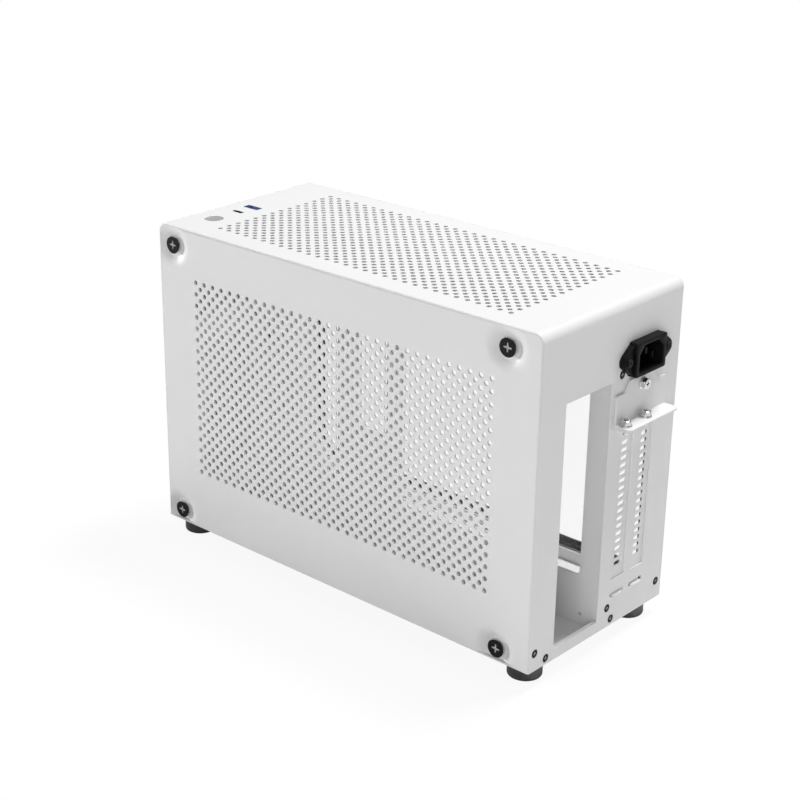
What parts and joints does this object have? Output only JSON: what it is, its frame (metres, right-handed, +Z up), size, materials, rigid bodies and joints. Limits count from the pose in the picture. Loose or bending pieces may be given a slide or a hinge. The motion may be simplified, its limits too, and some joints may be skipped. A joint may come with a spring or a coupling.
{
  "type": "computer case",
  "caption": "Small upright computer case of folded white sheet steel: perforated side and top, window side, rear port opening, card slots, mains inlet, round feet.",
  "frame": {"origin": "on the floor under the middle of the case, measured with the clamp behind the rear wall", "axes": "+X the perforated side over the mainboard, +Y the rear with its ports, +Z up"},
  "size_m": [0.139, 0.3296, 0.2263],
  "materials": {
    "white_paint": "fine powder coat, satin",
    "black_steel": "black screw finish, semi-gloss",
    "zinc": "bright zinc",
    "port_metal": "bright nickel",
    "pin_metal": "nickel",
    "black_plastic": "matt moulded",
    "blue_plastic": "moulded",
    "button_metal": "fine satin",
    "board_green": "varnished board",
    "foot_black": "semi-gloss",
    "pad_rubber": "matt",
    "clear_pane": "clear, polished",
    "black_tape": "matt tape"
  },
  "bodies": {
    "case": {"shell": "white_paint", "bottom_plate": "white_paint", "partition": "white_paint", "board_side_panel": "white_paint", "window_side_panel": "white_paint", "window_tape": "black_tape", "window_pane": "clear_pane", "panel_screws": "black_steel", "panel_nuts": "zinc", "frame_screws": "black_steel", "slot_cover_1": "white_paint", "slot_cover_2": "white_paint", "slot_clamp": "white_paint", "slot_screws": "zinc", "inlet_housing": "black_plastic", "inlet_pins": "pin_metal", "inlet_screws": "black_steel", "inlet_nuts": "zinc", "power_switch": "black_plastic", "usb_a_shell": "port_metal", "usb_a_insert": "blue_plastic", "usb_c_shell": "port_metal", "usb_c_insert": "black_plastic", "port_board": "board_green", "port_board_bracket": "white_paint", "port_board_screws": "zinc", "board_inserts": "white_paint", "supply_bracket": "white_paint", "supply_bracket_screws": "black_steel", "foot_screws": "zinc", "foot_front_board_side": "foot_black", "foot_pad_front_board_side": "pad_rubber", "foot_front_window_side": "foot_black", "foot_pad_front_window_side": "pad_rubber", "foot_rear_board_side": "foot_black", "foot_pad_rear_board_side": "pad_rubber", "foot_rear_window_side": "foot_black", "foot_pad_rear_window_side": "pad_rubber"},
    "button": {"power_button": "button_metal", "switch_plunger": "black_plastic"}
  },
  "joints": [
    {"name": "power_button_press", "type": "slide", "parent": "case", "child": "button", "axis": [0, 0, -1], "range_m": [0, 0.001], "stiffness_N_per_m": 1200, "springref_m": -0.0005}
  ]
}
